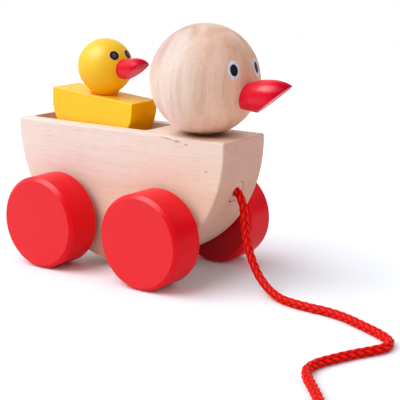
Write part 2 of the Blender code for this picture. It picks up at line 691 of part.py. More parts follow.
def main():
    for old in list(bpy.data.objects):
        bpy.data.objects.remove(old)
    wood = finish("plain_wood", (0.79, 0.60, 0.45), 0.55)
    red_paint = finish("red_paint", (0.72, 0.02, 0.03), 0.35)
    yellow_paint = finish("yellow_paint", (0.95, 0.52, 0.04), 0.40)
    red_cord = finish("red_cord", (0.66, 0.01, 0.006), 0.80)
    tape = finish("cotton_tape", (0.80, 0.77, 0.70), 0.90)
    toy = add_pivot("toy", None)
    add_hull(toy, wood)
    add_mother_head(toy, wood, red_paint)
    add_wheel_set("front", WHEELBASE / 2, toy, wood, red_paint)
    add_wheel_set("rear", -WHEELBASE / 2, toy, wood, red_paint)
    add_duckling(toy, yellow_paint, red_paint, wood)
    add_cord_and_anchor(toy, wood, red_cord, tape)
    stand_over_origin(toy)


main()
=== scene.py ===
"""The wooden pull-along duck as it looks: bare beech, red and yellow paint and a red braided cord."""

import json
import math

import bmesh
import bpy
import numpy as np
from mathutils import Matrix, Vector


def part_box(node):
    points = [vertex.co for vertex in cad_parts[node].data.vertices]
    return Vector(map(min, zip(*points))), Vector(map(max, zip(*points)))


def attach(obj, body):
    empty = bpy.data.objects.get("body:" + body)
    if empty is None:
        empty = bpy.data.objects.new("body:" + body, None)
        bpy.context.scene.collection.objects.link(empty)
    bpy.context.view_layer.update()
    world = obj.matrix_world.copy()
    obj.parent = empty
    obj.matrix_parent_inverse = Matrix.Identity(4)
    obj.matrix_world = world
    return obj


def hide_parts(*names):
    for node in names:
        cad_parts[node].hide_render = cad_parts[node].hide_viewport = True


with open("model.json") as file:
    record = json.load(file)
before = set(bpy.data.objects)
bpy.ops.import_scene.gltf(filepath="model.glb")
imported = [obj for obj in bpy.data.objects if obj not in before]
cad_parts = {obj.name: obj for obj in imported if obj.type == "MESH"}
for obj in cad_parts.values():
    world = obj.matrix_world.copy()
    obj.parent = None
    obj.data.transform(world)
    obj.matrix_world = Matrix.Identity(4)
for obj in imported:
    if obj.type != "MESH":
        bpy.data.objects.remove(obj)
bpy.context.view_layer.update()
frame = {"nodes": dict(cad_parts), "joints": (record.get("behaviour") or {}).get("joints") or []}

# The model's own sizes, in metres
HULL_RADIUS = 0.0700
HULL_WIDTH = 0.0368
HULL_RISE = 0.0027
HULL_LEAD = 0.0005
HULL_ROUNDING = 0.0012
HULL_CUT_EDGE = 0.0004
KEEL_HEIGHT = 0.0036
POCKET_LENGTH = 0.0817
POCKET_WIDTH = 0.0230
POCKET_DEPTH = 0.0122
POCKET_CORNER = 0.0030
POCKET_REAR_WALL = 0.0040
WHEELBASE = 0.0690
WHEEL_RADIUS = 0.0250
WHEEL_WIDTH = 0.0215
WHEEL_CHAMFER = 0.0020
WHEEL_EDGE = 0.0003
WHEEL_INNER_FACE = 0.0215
AXLE_RADIUS = 0.0040
AXLE_BORE_RADIUS = 0.0044
AXLE_HOLE_DEPTH = 0.0150
AXLE_SEAT = 0.0145
AXLE_EDGE = 0.0003
HEAD_RADIUS = 0.0284
HEAD_FLAT_RADIUS = 0.01075
HEAD_STANDOFF = 0.0014
HEAD_SETBACK = 0.0247
HEAD_TURN = math.radians(-3.2)
SMALL_HEAD_RADIUS = 0.0150
SMALL_NECK_RADIUS = 0.0074
SMALL_NECK_HEIGHT = 0.0015
SMALL_NECK_FILLET = 0.0050
SMALL_HEAD_TURN = math.radians(-7.5)
BLOCK_LENGTH = 0.0569
BLOCK_WIDTH = 0.0214
BLOCK_END_RISE = 0.0055
BLOCK_END_RADIUS = 0.0200
BLOCK_ROUNDING = 0.0006
ROCKER_RADIUS = 0.0430
DUCKLING_TILT = math.radians(4.95)
GAP = 0.0003
CORD_DIAMETER = 0.0040
CORD_BORE_RADIUS = 0.0060
CORD_BORE_DEPTH = 0.0180
CORD_BORE_DROP = math.radians(21.5)
PLUG_LENGTH = 0.0090
PLUG_RECESS = 0.0003
PLUG_LIP = 0.0004
PLUG_EDGE = 0.0002
PLUG_SIDE_GAP = 0.0002
PLUG_CORD_GAP = 0.00005

# Beaks: radii, and distances along their axis from the head's skin
MOTHER_BEAK = {
    "base": 0.0068, "thick": 0.0083, "swell": 0.0109, "length": 0.0289, "seat": 0.0045, "cut_start": 0.0050,
    "cut_angle": math.radians(29.4), "roll": math.radians(12.6), "drop": math.radians(13.4),
    "tilt": math.radians(6.8), "edge": 0.0005,
}
SMALL_BEAK = {
    "base": 0.00535, "thick": 0.0057, "swell": 0.0089, "length": 0.0185, "seat": 0.0028, "cut_start": 0.0025,
    "cut_angle": math.radians(29.6), "roll": math.radians(3.8), "drop": math.radians(-2.8),
    "tilt": math.radians(10.4), "edge": 0.0004,
}

# Eyes: their directions, and each patch of paint as half its width, half its height and its thickness
EYE_TURN = math.radians(-4.0)
EYE_PITCH = math.radians(15.0)
EYES_ASIDE = (("left", math.radians(18.3)), ("right", math.radians(-19.2)))
EYE_WHITE = (0.00355, 0.0050, 0.00006)
PUPIL = (0.0022, 0.0030, 0.00012)
SMALL_EYE_PITCH = math.radians(31.8)
SMALL_EYES_ASIDE = (("left", math.radians(22.3)), ("right", math.radians(-22.3)))
SMALL_EYE_RIM = (0.0029, 0.0029, 0.00004)
SMALL_EYE = (0.0026, 0.0026, 0.00008)
SMALL_EYE_CENTRE = (0.0012, 0.0012, 0.00012)
EYE_EDGE_DIP = 0.00006

# Places that follow from the sizes
DISC_HEIGHT = KEEL_HEIGHT + HULL_RADIUS
DECK_HEIGHT = DISC_HEIGHT + HULL_RISE
HULL_REAR = HULL_LEAD - HULL_RADIUS
HULL_FRONT = HULL_LEAD + HULL_RADIUS
HULL_SIDE = HULL_WIDTH / 2
HEAD_AXIS = HULL_FRONT - HEAD_SETBACK
POCKET_MIDDLE = HULL_REAR + POCKET_REAR_WALL + POCKET_LENGTH / 2
POCKET_FLOOR = DECK_HEIGHT - POCKET_DEPTH
WHEELBASE_MIDDLE = (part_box("front_axle")[0].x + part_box("rear_axle")[1].x) / 2
TOY = Matrix.Translation((WHEELBASE_MIDDLE, 0.0, 0.0))
ROCKING = next(joint for joint in frame["joints"] if joint["name"] == "duckling_rock")
DUCKLING = Matrix.Translation(ROCKING["pos_m"]) @ Matrix.Rotation(DUCKLING_TILT, 4, "Y")

# How finely round shapes are divided, and the angles from which an edge counts as one
HULL_STEPS = 128
CORNER_STEPS = 8
ROCKER_STEPS = 28
BLOCK_END_STEPS = 20
BEAK_NOSE_STEPS = 22
BEAK_BASE_STEPS = 10
LARGE_SIDES = 96
SMALL_HEAD_SIDES = 72
BEAK_SIDES = 64
ROD_SIDES = 48
EYE_SIDES = 40
EDGE_ANGLE = math.radians(35.0)
BEAK_EDGE_ANGLE = math.radians(30.0)
PLUG_EDGE_ANGLE = math.radians(25.0)
SHARP_ANGLE = math.radians(40.0)
SAME_PLACE = 0.0000005

# Camera, about the wheelbase's middle
CAMERA_PLACE = Vector((0.37899, -0.46000, 0.17539))
CAMERA_AIM = Vector((0.04256, 0.0, 0.04046))
CAMERA_LENS = 100.69
CAMERA_SENSOR = 36.0

# Lamps: name, direction they shine from, spread in degrees, share, and whether surfaces and gloss take them
LAMPS = (
    ("softbox", (-0.28, -0.52, 0.81), 56.0, 0.53, True, True),
    ("softbox_glint", (-0.28, -0.52, 0.81), 46.0, 1.90, False, True),
    ("left_key", (-0.78, -0.30, 0.55), 50.0, 0.27, True, False),
    ("right_fill", (0.93, -0.05, 0.36), 80.0, 0.33, True, False),
    ("front_fill", (-0.30, -0.92, 0.20), 90.0, 0.24, True, False),
)

# Glow of the world, from behind, and the floor as the camera and as other rays see it
SKY_SOURCE = (-0.55, 0.60, 0.50)
SKY_SPREAD = (0.20, 0.90)
SKY_RANGE = (0.09, 0.95)
SKY_COLOUR = (0.94, 0.97, 1.0, 1.0)
FLOOR_REACH = 1.2
FLOOR_SEEN = (0.965, 0.99, 1.035)
FLOOR_LIT = (0.79, 0.80, 0.82)

# Wood: tones from dark to pale, 0 to 255 as they show on screen, and waves in a metre along and across
HULL_TONES = ((238, 214, 202), (241, 221, 211), (243, 225, 216))
HEAD_TONES = ((220, 188, 168), (236, 213, 201), (244, 226, 218))
DOWEL_TONES = ((214, 172, 146), (228, 192, 168), (236, 206, 186))
PLUG_TONES = ((224, 180, 164), (231, 189, 174), (236, 197, 183))
GRAIN_BANDS = (4.0, 70.0, 110.0)
GRAIN_FIBRES = (28.0, 1100.0, 1100.0)
GRAIN_RAYS = (90.0, 1900.0, 1900.0)
GRAIN_CRACKS = (70.0, 1000.0, 1000.0)
WOOD_SHINE = 0.08
HEAD_GRAIN = (0.0, math.radians(88.0), 0.0)
HEAD_RING_DIRECTION = (0.77, 0.63, -0.05)
# Painted shade on the head: on one flank along this direction, and at its foot between these heights
HEAD_PAINTED_SHADE_DIRECTION = (-0.667, -0.285, 0.691)
HEAD_FOOT_PAINTED_SHADE = (-0.0246, -0.0264)
DOWEL_GRAIN = (0.0, math.radians(90.0), 0.0)

# Marks on the hull: flecks as place, size and tilt; painted shadow on the deck as outer and inner reach and
# tint
HULL_FLECKS = (
    ((0.0350, -HULL_SIDE, 0.0750), (0.0070, 0.0020, 0.0005), math.radians(7.0)),
    ((0.0415, -HULL_SIDE, 0.0741), (0.0024, 0.0020, 0.0008), 0.0),
    ((0.0473, -HULL_SIDE, 0.0730), (0.0015, 0.0020, 0.0007), 0.0),
    ((0.0597, -HULL_SIDE, 0.0607), (0.0013, 0.0020, 0.0007), 0.0),
)
DECK_PAINTED_SHADOW_PLACE = (HEAD_AXIS + 0.0050, -0.0040)
DECK_PAINTED_SHADOWS = (
    (0.0220, 0.0140, (0.84, 0.75, 0.68)),
    (0.0145, 0.0080, (0.72, 0.56, 0.52)),
    (0.0100, 0.0050, (0.88, 0.58, 0.36)),
)

# Red paint, with colours 0 to 255 as they show on screen
# The wheels' end colour carries some green and blue as a painted reflection of the pale surroundings.
WHEEL_PAINT = {
    "colour": (240, 2, 24), "deep": (229, 1, 21), "end_colour": (234, 28, 38), "end_slopes": (0.68, 0.95),
    "roughness": 0.34, "side_shine": 0.14, "end_shine": 0.30,
}
BEAK_PAINT = {
    "colour": (234, 10, 49), "deep": (226, 7, 39), "end_colour": (230, 8, 44), "end_slopes": (0.12, 0.38),
    "roughness": 0.25, "side_shine": 0.29, "end_shine": 0.07,
}
# Tints of painted shade: towards a beak's tip, and on ends that face inwards
TIP_PAINTED_SHADE = (0.57, 0.64, 0.64)
INWARD_PAINTED_SHADE = (0.65, 0.10, 0.40)

# Yellow paint: the heights between which it turns orange as painted shade, and how far end grain does so
BLOCK_PAINT = (-0.040, -0.026, 1.0)
BALL_PAINT = (-0.013, 0.004, 0.35)

# Cord, about the wheelbase's middle
CORD_LIFT = 0.0001
CORD_REST = CORD_DIAMETER / 2 + CORD_LIFT
CORD_ROUTE = (
    (0.0679, -0.0004, 0.0462),
    (0.0707, -0.0015, 0.0418),
    (0.0725, -0.0027, 0.0357),
    (0.0742, -0.0040, 0.0284),
    (0.0770, -0.0054, 0.0212),
    (0.0810, -0.0070, 0.0142),
    (0.0867, -0.0089, 0.0078),
    (0.0942, -0.0115, 0.0036),
    (0.1032, -0.0154, CORD_REST),
    (0.1126, -0.0179, CORD_REST),
    (0.1214, -0.0186, CORD_REST),
    (0.1307, -0.0189, CORD_REST),
    (0.1413, -0.0211, CORD_REST),
    (0.1535, -0.0262, CORD_REST),
    (0.1647, -0.0315, CORD_REST),
    (0.1725, -0.0372, CORD_REST),
    (0.1747, -0.0446, CORD_REST),
    (0.1723, -0.0513, CORD_REST),
    (0.1677, -0.0599, CORD_REST),
    (0.1634, -0.0696, CORD_REST),
    (0.1604, -0.0786, CORD_REST),
    (0.1606, -0.0866, CORD_REST),
    (0.1642, -0.0932, CORD_REST),
    (0.1705, -0.1002, CORD_REST),
    (0.1775, -0.1080, CORD_REST),
    (0.1845, -0.1166, CORD_REST),
    (0.1915, -0.1262, CORD_REST),
    (0.1978, -0.1362, CORD_REST),
)
COIL_CENTRE = Vector((0.1860, -0.1640))
COIL_RADIUS = 0.0240
COIL_STEP = 0.0046
COIL_REVERSAL = 1.5
COIL_TURNS = 2.5
COIL_START = math.radians(36.0)
COIL_END_RISE = 0.0024
COIL_POINTS = 400
TIE_AT = 0.25
TIE_REACH = 0.16
TIE_WIDTH = 0.0050
TIE_THICKNESS = 0.0008
TIE_CLEARANCE = 0.0004
TIE_EDGE = 0.0002
TIE_SIDES = 72
BRAID_CROWN = 0.00230
BRAID_STRANDS = 6
BRAID_PERIOD = 0.0044
BRAID_DEPTH = 0.00045
BRAID_TURN = math.radians(45.0)
BRAID_STEP = BRAID_PERIOD / 11
BRAID_SIDES = 48
BRAID_FLOOR = 0.00005
STRAND_FULLNESS = 2.3
STRAND_END_HEIGHT = 0.25
KNOT_CROWN = 0.0019
KNOT_TURNS = 2.25
KNOT_RADIUS = 0.0023
KNOT_PITCH = 0.0023
KNOT_LEAD = 0.0012
KNOT_START = 0.0018
KNOT_END = 0.0095
KNOT_TAIL = 0.0140
KNOT_TAIL_DROP = 0.0004
KNOT_POINTS = 28


# Materials

class Look:
    """A material's node tree, with short ways to add to it."""

    def __init__(self, name):
        self.material = bpy.data.materials.new(name)
        self.material.use_nodes = True
        self.tree = self.material.node_tree
        self.shader = self.tree.nodes["Principled BSDF"]
        source = self.add("ShaderNodeTexCoord")
        self.coordinates = source.outputs["Object"]
        self.facing = self.add("ShaderNodeSeparateXYZ", {"Vector": source.outputs["Normal"]}).outputs

    def add(self, kind, values=None, **settings):
        node = self.tree.nodes.new(kind)
        for name, value in settings.items():
            setattr(node, name, value)
        for name, value in (values or {}).items():
            self.feed(node.inputs[name], value)
        return node

    def feed(self, socket, value):
        if isinstance(value, bpy.types.NodeSocket):
            self.tree.links.new(value, socket)
        else:
            socket.default_value = value

    def finish(self, colour, roughness, shine=0.5):
        """Feeds the shader and gives the finished material. The shine sets how strongly it mirrors light."""
        for name, value in (("Base Color", colour), ("Roughness", roughness), ("Specular IOR Level", shine)):
            self.feed(self.shader.inputs[name], value)
        return self.material

    def bump(self, height, strength, distance):
        values = {"Height": height, "Strength": strength, "Distance": distance}
        self.feed(self.shader.inputs["Normal"], self.add("ShaderNodeBump", values).outputs["Normal"])

    def stretch(self, scale, turn=(0.0, 0.0, 0.0), shift=(0.0, 0.0, 0.0)):
        """The object's coordinates, turned and then scaled."""
        values = {"Vector": self.coordinates, "Rotation": turn, "Location": shift}
        turned = self.add("ShaderNodeMapping", values)
        scaled = self.add("ShaderNodeMapping", {"Vector": turned.outputs["Vector"], "Scale": scale})
        return scaled.outputs["Vector"]

    def even(self, scale):
        """The object's coordinates, scaled alike in every direction."""
        return self.stretch((scale, scale, scale))

    def noise(self, vector, detail=2.0, roughness=0.5, distortion=0.0):
        values = {
            "Vector": vector, "Scale": 1.0, "Detail": detail,
            "Roughness": roughness, "Distortion": distortion,
        }
        return self.add("ShaderNodeTexNoise", values).outputs["Fac"]

    def ramp(self, factor, *stops):
        """A value in 0 to 1 spread over (place, grey or colour) stops."""
        node = self.add("ShaderNodeValToRGB", {"Fac": factor})
        marks = node.color_ramp.elements
        while len(marks) < len(stops):
            marks.new(0.5)
        for mark, (place, colour) in zip(marks, stops):
            mark.position = place
            mark.color = (*colour, 1.0) if isinstance(colour, tuple) else (colour, colour, colour, 1.0)
        return node.outputs["Color"]

    def mix(self, factor, first, second, blend="MIX"):
        node = self.add("ShaderNodeMix", data_type="RGBA", blend_type=blend)
        for index, value in ((0, factor), (6, first), (7, second)):
            self.feed(node.inputs[index], (*value, 1.0) if isinstance(value, tuple) else value)
        return node.outputs[2]

    def tint(self, colour, tint, share):
        """The colour, multiplied by a tint where the share is 1."""
        return self.mix(share, colour, tint, "MULTIPLY")

    def math(self, operation, *values):
        node = self.add("ShaderNodeMath", operation=operation)
        for socket, value in zip(node.inputs, values):
            self.feed(socket, value)
        return node.outputs["Value"]

    def across_x(self):
        """0 on faces along the object's X and 1 on faces square to it."""
        return self.ramp(self.math("ABSOLUTE", self.facing["X"]), (0.30, 0.0), (0.85, 1.0))

    def along(self, direction):
        """The object's coordinates measured along a direction."""
        measured = self.add("ShaderNodeVectorMath", {"Vector": self.coordinates}, operation="DOT_PRODUCT")
        measured.inputs[1].default_value = direction
        return measured.outputs["Value"]

    def length(self, vector):
        return self.add("ShaderNodeVectorMath", {"Vector": vector}, operation="LENGTH").outputs["Value"]

    def from_upright(self, x, y):
        """The distance from an upright line."""
        values = {"Vector": self.coordinates, "Location": (-x, -y, 0.0), "Scale": (1.0, 1.0, 0.0)}
        return self.length(self.add("ShaderNodeMapping", values).outputs["Vector"])

    def between(self, value, start, end):
        """0 where a value is at the start and 1 at the end, with a soft change."""
        share = self.add("ShaderNodeMapRange", {"Value": value, "From Min": start, "From Max": end})
        share.interpolation_type = "SMOOTHSTEP"
        return share.outputs["Result"]

    def share(self, direction, start, end):
        """0 where the coordinates along a direction are at the start and 1 at the end."""
        return self.between(self.along(direction), start, end)

    def height_share(self, start, end):
        """0 at the start height and 1 at the end height."""
        return self.share((0.0, 0.0, 1.0), start, end)


def srgb(red, green, blue):
    """A colour as it shows on screen, 0 to 255, as linear light."""
    shares = [value / 255 for value in (red, green, blue)]
    return tuple(s / 12.92 if s <= 0.04045 else ((s + 0.055) / 1.055) ** 2.4 for s in shares)


def beech(name, tones, turn, shift, flecks=()):
    """Bare beech whose grain runs along the object's X, once turned. Gives the look with its colour and
    fibres."""
    look = Look(name)
    bands = look.noise(look.stretch(GRAIN_BANDS, turn, shift), detail=3.0, roughness=0.55, distortion=0.8)
    fibres = look.noise(look.stretch(GRAIN_FIBRES, turn, shift), detail=3.0, roughness=0.6)
    rays = look.noise(look.stretch(GRAIN_RAYS, turn, shift), detail=0.0)
    colour = look.ramp(bands, *zip((0.28, 0.5, 0.72), (srgb(*tone) for tone in tones)))
    streaks = look.ramp(fibres, (0.3, 0.86), (0.6, 1.0))
    colour = look.mix(0.45, colour, streaks, "MULTIPLY")
    dashes = look.ramp(rays, (0.60, 0.0), (0.74, 1.0))
    colour = look.mix(look.math("MULTIPLY", dashes, 0.13), colour, srgb(178, 128, 92))
    for place, size, tilt in flecks:
        values = {"Vector": look.coordinates, "Location": place, "Rotation": (0.0, tilt, 0.0), "Scale": size}
        near = look.add("ShaderNodeMapping", values, vector_type="TEXTURE")
        mark = look.ramp(look.length(near.outputs["Vector"]), (0.35, 1.0), (1.0, 0.0))
        colour = look.mix(look.math("MULTIPLY", mark, 0.55), colour, srgb(160, 106, 72))
    return look, colour, fibres


def finished_wood(look, colour, fibres):
    """Fine-sanded and oiled."""
    look.bump(fibres, strength=0.10, distance=0.0004)
    return look.finish(colour, look.math("MULTIPLY_ADD", fibres, 0.16, 0.50), WOOD_SHINE)


def hull_beech():
    """The hull is warmer low down and forwards, a painted warm light reflected from the red wheels. It is
    darker and warmer on its end grain at the front and rear, partly the end grain's own tone and partly
    painted shade, and darker brown on the deck beside the head's foot, a painted shadow of the head."""
    level = (0.0, 0.0, 0.0)
    look, colour, fibres = beech("hull_beech", HULL_TONES, level, (0.13, 0.21, 0.05), HULL_FLECKS)
    # Warmer low down and forwards: painted warm light reflected from the red wheels.
    colour = look.tint(colour, (1.0, 0.92, 0.78), look.share((-0.35, 0.0, 1.0), 0.075, 0.020))
    # Darker and warmer on end grain: partly the end grain's own tone, partly painted shade.
    colour = look.tint(colour, (0.83, 0.65, 0.64), look.across_x())
    # Darker brown on the deck round the head's foot, off to its front and right: a painted shadow of the
    # head.
    deck = look.ramp(look.facing["Z"], (0.3, 0.0), (0.8, 1.0))
    away = look.from_upright(*DECK_PAINTED_SHADOW_PLACE)
    for start, end, shade in DECK_PAINTED_SHADOWS:
        colour = look.tint(colour, shade, look.math("MULTIPLY", deck, look.between(away, start, end)))
    return finished_wood(look, colour, fibres)


def head_beech():
    """The head is browner towards its front and left, partly the wood's own tone and partly painted shade,
    and paler low down, a painted light reflected from the deck. It is darker at its foot and on one flank as
    painted shade, and has a ring of late wood and fine cracks."""
    look, colour, fibres = beech("head_beech", HEAD_TONES, HEAD_GRAIN, (0.3, 0.02, 0.11))
    spread = look.noise(look.stretch((45.0, 45.0, 20.0)))
    across = look.math("ADD", look.along((20.0, 16.5, -3.0)), 0.20)
    # Browner towards the front and left: partly the wood's own tone, partly painted shade.
    tone_and_shade = look.math("MULTIPLY_ADD", spread, 0.5, across)
    colour = look.tint(colour, (0.92, 0.715, 0.605), look.ramp(tone_and_shade, (0.12, 0.0), (0.42, 0.75), (1.0, 1.0)))
    # Paler low down: painted light reflected from the deck.
    colour = look.tint(colour, (1.12, 1.09, 1.04), look.height_share(0.020, -0.022))
    # Darker on one flank: painted shade.
    colour = look.tint(colour, (0.79, 0.72, 0.70), look.share(HEAD_PAINTED_SHADE_DIRECTION, 0.014, 0.027))
    # Dark at the foot: painted shade where the head meets the deck.
    colour = look.tint(colour, (0.42, 0.33, 0.30), look.height_share(*HEAD_FOOT_PAINTED_SHADE))
    wavering = look.math("MULTIPLY_ADD", spread, 0.010, look.along(HEAD_RING_DIRECTION))
    ring = look.add("ShaderNodeMapRange", {"Value": wavering, "From Min": -0.007, "From Max": 0.013})
    late = look.ramp(ring.outputs["Result"], (0.13, 0.0), (0.20, 1.0), (0.80, 0.0))
    late = look.math("MULTIPLY", late, look.height_share(0.018, 0.002))
    colour = look.tint(colour, (0.985, 0.975, 0.955), late)
    places = look.stretch(GRAIN_CRACKS, HEAD_GRAIN, (0.1, 0.4, 0.2))
    cracks = look.ramp(look.noise(places, roughness=0.6, distortion=0.5), (0.57, 0.0), (0.66, 1.0))
    cracks = look.math("MULTIPLY", cracks, look.share(HEAD_RING_DIRECTION, -0.012, 0.002))
    cracks = look.math("MULTIPLY", cracks, look.height_share(0.010, -0.004))
    colour = look.mix(look.math("MULTIPLY", cracks, 0.25), colour, srgb(172, 130, 100))
    return finished_wood(look, colour, fibres)


def dowel_beech(name, tones):
    return finished_wood(*beech(name, tones, DOWEL_GRAIN, (0.5, 0.3, 0.2)))


def paint(name, coat, tip=0.0):
    """Paint on turned wood: even colour, a little thinner in patches, with fine orange peel. The end's colour
    and shine come in between two slopes towards the axis, and ends that face inwards are darkened as painted
    shade. Where the piece has a tip, at a height, the colour is darkened towards it as painted shade and the
    coat is duller towards it."""
    look = Look(name)
    patches = look.noise(look.even(60.0), detail=3.0)
    peel = look.noise(look.even(420.0))
    start, end = coat["end_slopes"]
    ends = look.ramp(look.math("ABSOLUTE", look.facing["Z"]), (start, 0.0), (end, 1.0))
    colour = look.ramp(patches, (0.0, srgb(*coat["deep"])), (1.0, srgb(*coat["colour"])))
    colour = look.mix(ends, colour, srgb(*coat["end_colour"]))
    shine = look.math("MULTIPLY_ADD", ends, coat["end_shine"] - coat["side_shine"], coat["side_shine"])
    if tip:
        # Darker towards the tip: painted shade.
        colour = look.tint(colour, TIP_PAINTED_SHADE, look.height_share(0.52 * tip, 0.95 * tip))
        dull = look.height_share(0.40 * tip, 0.80 * tip)
        shine = look.math("MULTIPLY", shine, look.math("MULTIPLY_ADD", dull, -0.8, 1.0))
    inwards = look.ramp(look.math("MULTIPLY", look.facing["Z"], -1.0), (0.80, 0.0), (0.95, 1.0))
    # Darker on ends that face inwards: painted shade.
    colour = look.tint(colour, INWARD_PAINTED_SHADE, inwards)
    look.bump(peel, strength=0.05, distance=0.0003)
    return look.finish(colour, look.math("MULTIPLY_ADD", patches, 0.10, coat["roughness"] - 0.05), shine)


def yellow_paint(name, low, high, end_grain_and_shade):
    """Thin yellow paint that turns orange between two heights of the piece, deepest in a band at the lower
    one, as painted shade, and, by a share, on end grain, partly the grain's own tone and partly painted
    shade."""
    look = Look(name)
    patches = look.noise(look.even(50.0), detail=3.0)
    fibres = look.noise(look.stretch((30.0, 800.0, 800.0)))
    end = look.math("MULTIPLY", look.across_x(), end_grain_and_shade)
    colour = look.ramp(patches, (0.0, srgb(253, 199, 32)), (1.0, srgb(255, 207, 44)))
    # Orange lower down, deepest in a band at the low height: painted shade.
    colour = look.mix(look.height_share(high, low), colour, srgb(255, 186, 0))
    colour = look.mix(look.height_share(low + 0.001, low - 0.002), colour, srgb(246, 150, 0))
    # Orange on end grain: partly the grain's own tone, partly painted shade.
    colour = look.mix(end, colour, srgb(255, 176, 0))
    colour = look.mix(0.06, colour, look.ramp(fibres, (0.3, 0.55), (0.7, 1.0)), "MULTIPLY")
    look.bump(fibres, strength=0.04, distance=0.0003)
    roughness = look.math("MULTIPLY_ADD", patches, 0.10, 0.38)
    return look.finish(colour, roughness, look.math("MULTIPLY_ADD", end, -0.25, 0.26))


def braid_look(name):
    """Red polyester braid, darker between its strands as painted shade and lighter orange on their crowns
    as painted highlight.
    """
    look = Look(name)
    depth = look.add("ShaderNodeAttribute", attribute_name="crown").outputs["Fac"]
    threads = look.noise(look.even(2600.0), roughness=0.6)
    # Dark in the grooves and orange on the crowns: painted shade and painted highlight.
    colour = look.ramp(depth, (0.0, srgb(156, 0, 0)), (0.45, srgb(224, 3, 4)), (1.0, srgb(255, 41, 19)))
    colour = look.mix(0.20, colour, look.ramp(threads, (0.3, 0.6), (0.7, 1.0)), "MULTIPLY")
    look.bump(threads, strength=0.25, distance=0.0002)
    return look.finish(colour, 0.5, 0.065)


def tape_look(name):
    """Unbleached cotton tape with a plain weave."""
    look = Look(name)
    threads = []
    for direction in "YZ":
        values = {"Vector": look.coordinates, "Scale": 420.0, "Distortion": 1.5}
        threads.append(look.add("ShaderNodeTexWave", values, bands_direction=direction).outputs["Fac"])
    height = look.math("MULTIPLY", *threads)
    look.bump(height, strength=0.4, distance=0.0002)
    # Darker where the weave is low: painted shade between threads.
    return look.finish(look.ramp(height, (0.0, srgb(196, 186, 166)), (0.6, srgb(236, 230, 216))), 0.9)


def ink(name, colour, roughness):
    """Stamped eye paint, a little uneven."""
    look = Look(name)
    blot = look.noise(look.even(700.0), detail=3.0, roughness=0.6)
    darker = tuple(0.8 * share for share in colour)
    coat = look.ramp(blot, (0.3, darker), (0.6, colour))
    return look.finish(coat, look.math("MULTIPLY_ADD", blot, 0.1, roughness), 0.2)


def floor_look():
    """White paper. It is lighter for the camera, so that it reads as white and still takes a shadow."""
    look = Look("white_floor")
    path = look.add("ShaderNodeLightPath")
    return look.finish(look.mix(path.outputs["Is Camera Ray"], FLOOR_LIT, FLOOR_SEEN), 0.9, 0.0)


# Shapes

def turned_shape(profile, sides, ring=False):
    """A body of revolution about Z from (radius, height) pairs, top to bottom. A ring's profile closes on
    itself."""
    shape = bmesh.new()
    points = [shape.verts.new((radius, 0.0, height)) for radius, height in profile]
    nexts = points[1:] + points[:1] if ring else points[1:]
    edges = [shape.edges.new(pair) for pair in zip(points, nexts)]
    bmesh.ops.spin(
        shape, geom=points + edges, axis=(0.0, 0.0, 1.0), cent=(0.0, 0.0, 0.0),
        angle=2 * math.pi, steps=sides, use_merge=True,
    )
    bmesh.ops.remove_doubles(shape, verts=shape.verts, dist=SAME_PLACE)
    return shape


def prism_shape(outline, offset, pull):
    """An outline of (x, z) pairs at y = offset, pulled out along Y."""
    shape = bmesh.new()
    side = shape.faces.new([shape.verts.new((x, offset, z)) for x, z in outline])
    pulled = bmesh.ops.extrude_face_region(shape, geom=[side])
    moved = [item for item in pulled["geom"] if isinstance(item, bmesh.types.BMVert)]
    bmesh.ops.translate(shape, verts=moved, vec=(0.0, pull, 0.0))
    return shape


def arc(centre, radius, start, end, steps):
    """(x, z) pairs on an arc, both ends included."""
    angles = np.linspace(start, end, steps + 1)
    return [(centre[0] + radius * math.cos(a), centre[1] + radius * math.sin(a)) for a in angles]


def rod_shape(radius, top, bottom):
    return turned_shape([(0.0, top), (radius, top), (radius, bottom), (0.0, bottom)], ROD_SIDES)


def placed_object(name, data, place):
    """An object in the scene, placed by a matrix."""
    placed = bpy.data.objects.new(name, data)
    bpy.context.scene.collection.objects.link(placed)
    placed.matrix_world = place
    return placed


def plain_object(name, shape, place):
    """An object of a bmesh, with its faces turned outwards."""
    bmesh.ops.recalc_face_normals(shape, faces=shape.faces)
    mesh = bpy.data.meshes.new(name)
    shape.to_mesh(mesh)
    shape.free()
    return placed_object(name, mesh, place)


def add_object(name, shape, place, look):
    """A smooth object of a bmesh, with its material."""
    piece = plain_object(name, shape, place)
    piece.data.shade_smooth()
    piece.data.materials.append(look)
    return piece


def seat(piece, body, slot, *nodes):
    """The piece moves with a body and stands for CAD nodes; the slot is not used."""
    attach(piece, body)
    if nodes:
        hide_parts(*nodes)


def round_edges(piece, width, segments, angle=EDGE_ANGLE):
    bevel = piece.modifiers.new("rounding", "BEVEL")
    bevel.width = width
    bevel.segments = segments
    bevel.limit_method = "ANGLE"
    bevel.angle_limit = angle
    bevel.harden_normals = True


def cut_away(shape, cutters):
    """Takes (bmesh, matrix) cutters from a bmesh and returns the rest, through exact Booleans."""
    base = plain_object("cut_base", shape, Matrix.Identity(4))
    tools = [plain_object("cutter", cutter, place) for cutter, place in cutters]
    for tool in tools:
        boolean = base.modifiers.new("cut", "BOOLEAN")
        boolean.operation = "DIFFERENCE"
        boolean.object = tool
    bpy.context.view_layer.update()
    graph = bpy.context.evaluated_depsgraph_get()
    left = bmesh.new()
    left.from_mesh(base.evaluated_get(graph).to_mesh())
    for spent in tools + [base]:
        bpy.data.objects.remove(spent)
    return left


# Camera, light and floor

def add_camera():
    data = bpy.data.cameras.new("camera")
    data.lens = CAMERA_LENS
    data.sensor_width = CAMERA_SENSOR
    camera = placed_object("camera", data, Matrix.Identity(4))
    place = TOY @ CAMERA_PLACE
    camera.location = place
    camera.rotation_euler = (TOY @ CAMERA_AIM - place).to_track_quat("-Z", "Y").to_euler()
    bpy.context.scene.camera = camera


